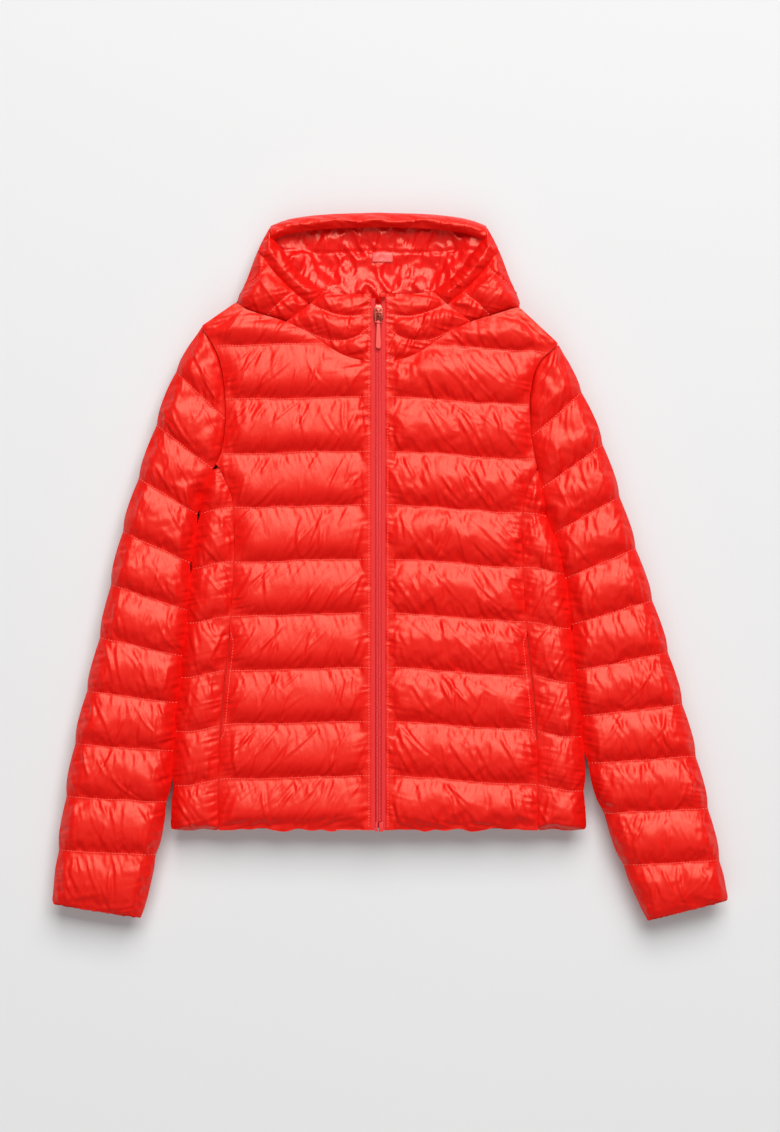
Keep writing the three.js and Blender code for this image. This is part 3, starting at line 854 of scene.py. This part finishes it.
def make_front(side):
    seam = princess(MOUTH_GAPE)
    armhole = curve(side.armhole)
    armhole = armhole[armhole[:, 1] > 112]
    shoulder = straight([side.tip, side.neck])
    neckline = front_neckline(side)
    zip_edge = straight([(ZIP_EDGE, 226), (ZIP_EDGE, HEM_Y)])
    hem = straight([(ZIP_EDGE, HEM_Y), (178, HEM_Y)])
    outline = chain_of(hem, seam, armhole, shoulder, neckline[::-1], zip_edge)
    return Cloth(
        f"front_shell_{side.name}", outline, side.sign, rows=body_rows(side.sign),
        seams=[shoulder - np.array([3, 10])],
        edges=[(hem_line(), FRONT_HEM, 6), (shoulder, EDGE, 12), (seam, PANEL_SEAM, 8), (armhole, SEAM, 10),
               (neckline, SEAM, 9), (zip_edge, TAPE_TOP + 0.5, 7)],
        seed=11 if side is LEFT else 12, lean=0.5, drag=1.3,
    ).lift_to(zip_edge, ON_TAPE, ZIP_REACH).pucker_hem().sew()


def finish_front(side, piece):
    n = side.name
    top = straight([(ZIP_EDGE + 2.5, HEM_Y + 3), (ZIP_EDGE + 2.5, 224)])
    welt = princess(MOUTH_GAPE + 4)
    piece.stitch([top, cut_between(welt, MOUTH_LOW, MOUTH_HIGH)])
    shell(piece, f"front_panel_{n}", f"front_edge_{n}", f"front_wadding_{n}", f"front_edge_wadding_{n}")
    fold_blend(piece.obj)


def make_side_panel(side):
    seam = princess(0)
    armhole = curve(side.armhole)
    armhole = armhole[armhole[:, 1] <= 112]
    edge = body_edge(side)
    outline = chain_of(seam, armhole[::-1], edge[::-1])
    return Cloth(
        f"side_shell_{side.name}", outline, side.sign, rows=body_rows(side.sign),
        edges=[(edge, EDGE, 12), (seam, PANEL_SEAM, 8), (armhole, SEAM, 10), (hem_line(), FRONT_HEM, 6)],
        bulges=[(edge, (1, 0))],
        seed=21 if side is LEFT else 22, loft=6.5, drag=1.6, lean=-0.3).pucker_hem().sew()


def make_back():
    half = {}
    for side in SIDES:
        half[side.name] = chain_of(body_edge(side), curve(side.armhole), straight([side.neck, (154, 306)]))
    right = half["right"][::-1] * np.array([-1, 1])
    outline = np.vstack([half["left"], right])
    silhouettes, bulges = [], []
    for side in SIDES:
        flip = np.array([side.sign, 1])
        bulges.append((body_edge(side) * flip, (side.sign, 0)))
        shoulder = straight([side.tip, side.neck, (154, 306)])
        silhouettes += [(body_edge(side) * flip, EDGE, 16), (shoulder * flip, EDGE, 16)]
    return Cloth("back_shell", outline, cell=3.6, rows=body_rows(), down=True, deck=UNDER, loft=UNDER_LOFT,
                 edges=silhouettes + [(hem_line(), BACK_HEM, 9)], bulges=bulges, seed=25, drag=0.7).sew()


def finish_back(piece):
    piece.stitch()
    shell(piece, "back_panel", "back_wadding", "neck_band")
    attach(piece.obj, "torso")


# ---------------------------------------------------------------- sleeves


def sleeve_rows(side):
    outer = curve(side.outer)
    order = np.argsort(outer[:, 1])
    pitch = SLEEVE_ROW[side.name]

    def line(x, r):
        start = np.interp(r, outer[order, 1], outer[order, 0])
        slope = 0.05 + 0.9 * np.clip((r + 250) / 466, 0, 1.2) ** 1.6
        return r - slope * (start - x) + 0.7 * rumple(x / 20, r / pitch, 6)
    return {"start": side.row_start, "pitch": pitch, "line": line, "from": -9, "to": 0}


CUFF_BAND = 3.0  # width of the cuff edge that shows
CUFF_UNDER = 5.5  # height of the cuff edge on the underside


def sleeve_lines(side):
    """Armhole, outer edge, cuff seam and inner edge of one arm."""
    cuff = straight(side.cuff) + np.array([0, CUFF_BAND - 1])
    return curve(side.armhole), curve(side.outer), cuff, curve(side.inner)


def make_sleeve(side, down):
    armhole, outer, cuff, inner = sleeve_lines(side)
    outline = chain_of(armhole, outer[:-2], cuff, inner[:-2][::-1])
    if down:
        edges = [(outer, EDGE, 22), (inner, EDGE, 22), (cuff, 6, 8)]
        extra = {"deck": UNDER, "loft": UNDER_LOFT, "down": True, "cell": 3.6, "drag": 0.7}
    else:
        edges = [(outer, EDGE, 12), (inner, EDGE, 12), (armhole, SEAM, 10), (cuff, DECK - 1, 6)]
        extra = {"loft": 7.5, "drag": 1.6}
    name = "sleeve_back" if down else "sleeve_front"
    seed = (31 if side is LEFT else 32) + (5 if down else 0)
    return Cloth(f"{name}_{side.name}", outline, side.sign, rows=sleeve_rows(side), edges=edges, seed=seed,
                 bulges=[(outer[3:], (1, 0.15)), (inner[2:], (-1, -0.1))],
                 lean=0.15 * side.sign, **extra).sew()


def finish_sleeve(side, piece, down):
    part = "under" if down else "top"
    piece.stitch()
    shell(piece, f"sleeve_{part}_{side.name}", f"sleeve_{part}_wadding_{side.name}")
    sleeve_blend(piece.obj)


def make_cuff(side):
    """Elastic cuff edge: a gathered band that turns in over the lining."""
    a, b = straight(side.cuff)
    across = (a - b) / np.linalg.norm(a - b)
    out = np.array([across[1], -across[0]])
    middle, half = (a + b) / 2, np.linalg.norm(a - b) / 2
    steps = [(-CUFF_BAND - 3, 0.97), (-CUFF_BAND, 0.975), (-2, 0.99), (-0.8, 0.98), (0, 0.95),
             (-0.6, 0.91), (-3, 0.885), (-10, 0.88), (-22, 0.87), (-34, 0.86)]
    count = 176
    band = bmesh.new()
    ring = bmesh.ops.create_circle(band, segments=count, radius=1.0)["verts"]
    turns = [2 * math.pi * i / count for i in range(count)]
    draw = np.random.RandomState(77 if side is LEFT else 78)
    gather = np.interp(np.arange(count), np.arange(0, count + 1, 2), draw.uniform(-1, 1, count // 2 + 1))

    def lay(verts, reach, scale):
        for v, turn, g in zip(verts, turns, gather):
            rise = abs(math.sin(turn)) ** 0.7
            up = DECK - 1 - EDGE if math.sin(turn) > 0 else CUFF_UNDER - EDGE
            swell = scale + g * 0.03
            p = middle + across * math.cos(turn) * half * 0.99 * swell + out * (reach + g * 0.5)
            v.co = (p[0] * side.sign * MM, p[1] * MM, (EDGE + up * rise * (swell - 0.02)) * MM)

    lay(ring, *steps[0])
    edges = [e for e in band.edges]
    for reach, scale in steps[1:]:
        made = bmesh.ops.extrude_edge_only(band, edges=edges)["geom"]
        verts = [g for g in made if isinstance(g, bmesh.types.BMVert)]
        edges = [g for g in made if isinstance(g, bmesh.types.BMEdge)]
        lay(verts, reach, scale)
    bmesh.ops.recalc_face_normals(band, faces=band.faces)
    return finish_mesh(band, f"cuff_band_{side.name}", SHELL)


def finish_mesh(bm, name, material, body=None):
    """Turns a bmesh into an object, smooth, with its material, body and slot."""
    mesh = bpy.data.meshes.new(name)
    bm.to_mesh(mesh)
    bm.free()
    mesh.polygons.foreach_set("use_smooth", [True] * len(mesh.polygons))
    mesh.materials.append(material)
    obj = bpy.data.objects.new(name, mesh)
    bpy.context.scene.collection.objects.link(obj)
    if body:
        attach(obj, body)
    return obj


# ---------------------------------------------------------------- hood and collar


def collar_cross():
    return curve([(60, 306), (76, 291), (103, 271)])


def make_collar(side):
    neckline = curve(NECKLINE)
    lower = neckline[neckline[:, 0] <= 103.5]
    face = curve(FACE_EDGE)
    face = face[face[:, 0] <= 60.5]
    zip_edge = straight([(ZIP_EDGE, 302), (ZIP_EDGE, 226)])
    outline = chain_of(lower, collar_cross()[::-1], face[::-1], zip_edge)
    rim_seam = curve([(ZIP_EDGE, 279), (39, 277), (62, 284), (76, 291)])
    quilt = curve([(ZIP_EDGE, 266), (28, 252), (55, 250), (84, 262)])
    piece = Cloth(
        f"collar_shell_{side.name}", outline, side.sign, cell=2.2, seams=[rim_seam, quilt],
        edges=[(face, LINING_FRONT + 1, 12), (lower, SEAM, 8), (zip_edge, TAPE_TOP + 0.5, 7)],
        seed=41 if side is LEFT else 42, lean=-0.4, drag=1.6).lift_to(zip_edge, ON_TAPE, ZIP_REACH).sew()
    piece.lines = [quilt, rim_seam, zip_edge + np.array([2.5, 0])]
    return piece


def make_hood_side(side):
    neckline = front_neckline(side)
    upper_neck = neckline[neckline[:, 0] >= 103]
    edge = curve(HOOD_EDGE)
    edge_low = edge[edge[:, 1] <= 352]
    rim_seam = curve(RIM_SEAM)
    outline = chain_of(straight([(76, 291), (103, 271)]), upper_neck, edge_low, rim_seam[::-1])
    quilts = [curve([(119, 336), (132, 322), (147, 312)]), curve([(96, 303), (112, 290), (124, 278)])]
    piece = Cloth(
        f"hood_side_shell_{side.name}", outline, side.sign, cell=2.2, seams=quilts,
        edges=[(edge, EDGE, 12), (upper_neck, SEAM, 8), (rim_seam, DECK - 2, 8)],
        seed=51 if side is LEFT else 52, drag=1.8, lean=-0.7).sew()
    piece.lines = quilts
    return piece


def make_hood_rim(side):
    face = curve(FACE_EDGE)
    inner = face[face[:, 0] >= 59.5]
    edge = curve(HOOD_EDGE)
    edge_high = edge[edge[:, 1] >= 352]
    rim_seam = curve(RIM_SEAM)
    outline = chain_of(rim_seam, edge_high, inner[::-1])
    return Cloth(
        f"hood_rim_shell_{side.name}", outline, side.sign, cell=2.2,
        edges=[(inner, LINING_FRONT, 11), (rim_seam, DECK - 2, 8), (edge_high, EDGE, 12)],
        seed=61 if side is LEFT else 62, drag=1.8, lean=0.6).sew()


def both_halves(line):
    """A line given from its outer end to the middle, carried on to the other side."""
    return np.vstack([line, (line[::-1] * np.array([-1, 1]))[1:]])


def make_crown():
    top = both_halves(curve(HOOD_TOP))
    low = (top - np.array([0, CROWN_DEPTH])) * np.array([0.985, 1])
    outline = chain_of(top, low[::-1])
    return Cloth("hood_crown_shell", outline, cell=2.2, edges=[(top, CROWN_EDGE, 10), (low, 30, 6)],
                 deck=36, loft=5, seed=71, drag=3, lean=0.1).sew()


def make_hood_back():
    edge = curve([(154, 306), (146, 321), (138, 343), (129, 363), (121, 377)])
    outline = both_halves(np.vstack([edge, curve(HOOD_TOP)[1:]]))
    rows = {"start": 350, "pitch": ROW, "line": lambda x, r: r + 0.8 * rumple(x / 22, r / ROW, 7)}
    return Cloth("hood_back_shell", outline, cell=3.6, rows=rows, down=True, deck=UNDER, loft=UNDER_LOFT,
                 edges=[(outline, CROWN_EDGE, 16)], seed=75, drag=0.7).sew()


def make_hood_inside():
    """Lining of the hood, slack and full of small folds, with a seam across it."""
    half = straight([(119, 374), (128, 345), (132, 310), (100, 282), (0, 276)])
    outline = chain_of(both_halves(half), straight([(-119, 374), (0, 384), (119, 374)]))
    piece = Cloth("hood_lining_sheet", outline, cell=1.9, deck=LINING_BACK, loft=0, seed=81)
    x, y = piece.at[:, 0], piece.at[:, 1]
    face = curve(FACE_EDGE)
    rim = np.vstack([(face * np.array([-1, 1]))[::-1], face])
    gap, _ = nearest(piece.at, rim)
    rise = soft_step(1 - gap / 24) * 8 + soft_step((y - 354) / 24) * 2
    folds = ridges(x / 16 + y / 26, y / 34 - x / 40, 82) * 1.5 + rumple(x / 30 - y / 24, y / 20, 83) * 2.5
    folds += ridges(x / 7 - y / 22, y / 12 + x / 18, 84) * 0.8
    seam = np.exp(-((y - 351 - 2 * rumple(x / 30, y * 0, 85)) / 1.4) ** 2) * 1.8
    piece.z = LINING_BACK + 4 + rise + folds - seam
    piece.build(LINING)
    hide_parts("hood_lining", "hood_wadding")
    hood_blend(piece.obj)
    return piece


# ---------------------------------------------------------------- linings, pockets and small cloth pieces


def make_lining(name, outline, sign, height, edges, seed, down=False, cell=5.0):
    """A slack sheet of lining at one height, brought to the shell at its edges."""
    piece = Cloth(name, outline, sign, cell=cell, deck=height, loft=0, edges=edges, seed=seed, down=down)
    x, y = piece.at[:, 0], piece.at[:, 1]
    inner = soft_step(nearest(piece.at, outline, closed=True)[0] / 25)
    folds = ridges(x / 26 + y / 60, y / 50, seed) * 0.9 + rumple(x / 50, y / 60, seed + 1)
    piece.z = piece.z + inner * folds
    piece.build(LINING)
    return piece.obj


def make_linings(side):
    n, s = side.name, side.sign
    armhole = curve(side.armhole)
    edge = body_edge(side) - np.array([7, 0])
    armhole_in = armhole - np.array([3, 0])
    neck = front_neckline(side)
    zip_edge = straight([(ZIP_EDGE + 1, 226), (ZIP_EDGE + 1, HEM_Y + 1)])
    outline = chain_of(straight([(ZIP_EDGE + 1, HEM_Y + 1), (224, HEM_Y + 1)]), edge[1:-1], armhole_in[1:-1],
                       straight([(190, 250), (158, 276)]), neck[::-1][8:], zip_edge)
    front = make_lining(f"front_lining_sheet_{n}", outline, s, LINING_FRONT + 0.4, [], 91)
    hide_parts(f"front_lining_{n}", f"front_facing_{n}")
    fold_blend(front)
    a, o, c, i = sleeve_lines(side)
    tube = chain_of(a, o[:-2] - np.array([5, 0]), c + np.array([0, 6]), i[:-2][::-1] + np.array([5, 0]))
    seams = [(o, EDGE, 18), (i, EDGE, 18)]
    for part, height, edges, on in (("top", LINING_FRONT, [], f"sleeve_front_{n}"),
                                    ("under", LINING_BACK, seams, f"sleeve_back_{n}")):
        sheet = make_lining(f"sleeve_{part}_lining_sheet_{n}", tube, s, height, edges, 93,
                            part == "under")
        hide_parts(f"sleeve_{part}_lining_{n}")
        sleeve_blend(sheet)


def make_back_lining():
    halves = {}
    for side in SIDES:
        halves[side.name] = chain_of(body_edge(side)[:-1] - np.array([7, 0]), curve(side.armhole)[1:-2],
                                     straight([(150, 279)]))
    outline = np.vstack([halves["left"], halves["right"][::-1] * np.array([-1, 1])])
    outline[:, 1] = np.maximum(outline[:, 1], HEM_Y + 1)
    edges = [(body_edge(side) * np.array([side.sign, 1]), EDGE, 18) for side in SIDES]
    edges.insert(0, (hem_line(), BACK_HEM + 0.5, 9))
    sheet = make_lining("back_lining_sheet", outline, 1, LINING_BACK, edges, 97)
    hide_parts("back_lining")
    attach(sheet, "torso")


def make_pocket(side):
    """Pocket bag seen in the slit of the princess seam: two slack leaves of lining."""
    n = side.name
    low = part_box(f"pocket_bag_{n}")[0]
    y0, y1 = low[1] / MM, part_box(f"pocket_bag_{n}")[1][1] / MM
    outer = cut_between(princess(-3), y0, y1)
    outline = chain_of(straight([(94, y0), (160, y0)]), outer, straight([(160, y1), (94, y1)]))
    for part, height, node_name in (("inner", 31.2, "pocket_bag"), ("outer", 34.2, "pocket_cover")):
        name = f"pocket_{part}_leaf_{n}"
        leaf = make_lining(name, outline, side.sign, height, [], 99, cell=4)
        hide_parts(f"{node_name}_{n}")
        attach(leaf, "torso")


def make_label(hood):
    """Blank woven label on the hood lining."""
    low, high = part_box("hood_label")
    mesh = hood.obj.data
    tree = kdtree.KDTree(len(mesh.vertices))
    for i, v in enumerate(mesh.vertices):
        tree.insert((v.co.x, v.co.y, 0), i)
    tree.balance()
    ribbon = bmesh.new()
    bmesh.ops.create_grid(ribbon, x_segments=14, y_segments=7, size=0.5)
    for v in ribbon.verts:
        x = (low[0] + high[0]) / 2 + v.co.x * (high[0] - low[0])
        y = (low[1] + high[1]) / 2 + v.co.y * (high[1] - low[1])
        near = tree.find_n((x, y, 0), 12)
        z = sum(mesh.vertices[i].co.z for _, i, _ in near) / len(near)
        v.co = (x, y, z + 0.9 * MM)
    bmesh.ops.solidify(ribbon, geom=ribbon.faces[:], thickness=0.5 * MM)
    label = finish_mesh(ribbon, "blank_label", SATIN, "hood")
    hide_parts("hood_label")


# ---------------------------------------------------------------- zip


def softened(node_name, name, material, body, width, segments=3):
    """A copy of a hard piece with its edges rounded, which stands for it."""
    copy = bmesh.new()
    copy.from_mesh(bpy.data.objects[node_name].data)
    bmesh.ops.remove_doubles(copy, verts=copy.verts, dist=0.01 * MM)
    bmesh.ops.dissolve_limit(copy, angle_limit=0.02, verts=copy.verts, edges=copy.edges)
    sharp = [e for e in copy.edges if e.calc_face_angle(0) > 0.5]
    bmesh.ops.bevel(copy, geom=sharp, offset=width * MM, segments=segments, profile=0.5, affect="EDGES",
                    clamp_overlap=True, material=-1)
    bmesh.ops.triangulate(copy, faces=[f for f in copy.faces if len(f.verts) > 4])
    piece = finish_mesh(copy, name, material, body)
    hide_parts(node_name)
    return piece


COIL_PITCH = 1.5
COIL_LOOP = 1.4  # thickness of one loop
CORE = 1.6  # thickness of the cord that the loops are wound on


def make_coil(side):
    """Coil of the zip: one flattened loop of filament per tooth."""
    low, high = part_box(f"zip_chain_{side.name}")
    middle_z = (low[2] + high[2]) / 2
    count = int((high[1] - low[1]) / (COIL_PITCH * MM))
    coil = bmesh.new()
    shift = 0.5 * COIL_PITCH if side is LEFT else 0
    tip, heel = -0.5 * MM, max(abs(low[0]), abs(high[0]))
    size = Matrix.Diagonal((heel - tip, COIL_LOOP * MM, (high[2] - low[2]) * 0.98, 1))
    heights = [low[1] + (i * COIL_PITCH + shift + 0.4) * MM for i in range(count)]
    middle_x = side.sign * (heel + tip) / 2
    add_beads(coil, [Matrix.Translation((middle_x, y, middle_z)) @ size for y in heights], 2)
    place = Matrix.Translation((side.sign * heel / 2, (low[1] + high[1]) / 2, low[2] + 0.9 * MM))
    size = Matrix.Diagonal((heel * 1.1, high[1] - low[1], CORE * MM, 1))
    bmesh.ops.create_cube(coil, size=1.0, matrix=place @ size)
    piece = finish_mesh(coil, f"zip_coil_{side.name}", POLYAMIDE, f"front_{side.name}")
    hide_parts(f"zip_chain_{side.name}")


def make_zip():
    for side in SIDES:
        make_coil(side)
        tape = bpy.data.objects[f"zip_tape_{side.name}"]
        tape.data.materials.clear()
        tape.data.materials.append(TAPE)
    softened("zip_slider", "zip_slider_body", ZINC, "slider", 0.35)
    softened("pull_ring", "zip_pull_ring", ZINC, "pull_ring", 0.4)
    softened("zip_puller", "zip_puller_grip", RUBBER, "puller", 0.5)
    softened("zip_box", "zip_retainer_box", POLYAMIDE, "front_left", 0.3)
    softened("zip_pin", "zip_insertion_pin", POLYAMIDE, "front_right", 0.3)
    softened("chin_guard", "zip_chin_guard", SHELL, "front_left", 1.2, 4)
    softened("hanger_loop", "hanger_loop_tape", TAPE, "torso", 0.4)


# ---------------------------------------------------------------- assembly

make_camera()
make_studio()
pieces = {}
for side in SIDES:
    pieces["front", side.name] = make_front(side)
    pieces["side", side.name] = make_side_panel(side)
    pieces["sleeve_top", side.name] = make_sleeve(side, down=False)
    pieces["sleeve_under", side.name] = make_sleeve(side, down=True)
    pieces["collar", side.name] = make_collar(side)
    pieces["hood_side", side.name] = make_hood_side(side)
    pieces["hood_rim", side.name] = make_hood_rim(side)
back = make_back()
crown = make_crown()
hood_back = make_hood_back()
billow_all()

for side in SIDES:
    n = side.name
    finish_front(side, pieces["front", n])
    side_panel = pieces["side", n].stitch()
    shell(side_panel, f"side_panel_{n}")
    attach(side_panel.obj, "torso")
    finish_sleeve(side, pieces["sleeve_top", n], down=False)
    finish_sleeve(side, pieces["sleeve_under", n], down=True)
    collar = pieces["collar", n].stitch(pieces["collar", n].lines)
    shell(collar, f"collar_{n}")
    fold_blend(collar.obj)
    hood_side = pieces["hood_side", n].stitch(pieces["hood_side", n].lines)
    shell(hood_side, f"hood_side_{n}", f"hood_base_{n}")
    hood_blend(hood_side.obj)
    shell(pieces["hood_rim", n], f"hood_rim_{n}")
    hood_blend(pieces["hood_rim", n].obj)
    cuff = make_cuff(side)
    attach(cuff, f"sleeve_{n}")
    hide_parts(f"cuff_{n}")
    make_linings(side)
    make_pocket(side)
finish_back(back)
shell(crown, "hood_crown")
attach(crown.obj, "hood")
shell(hood_back.stitch(), "hood_back")
hood_blend(hood_back.obj)
hood_inside = make_hood_inside()
make_label(hood_inside)
make_back_lining()
make_zip()
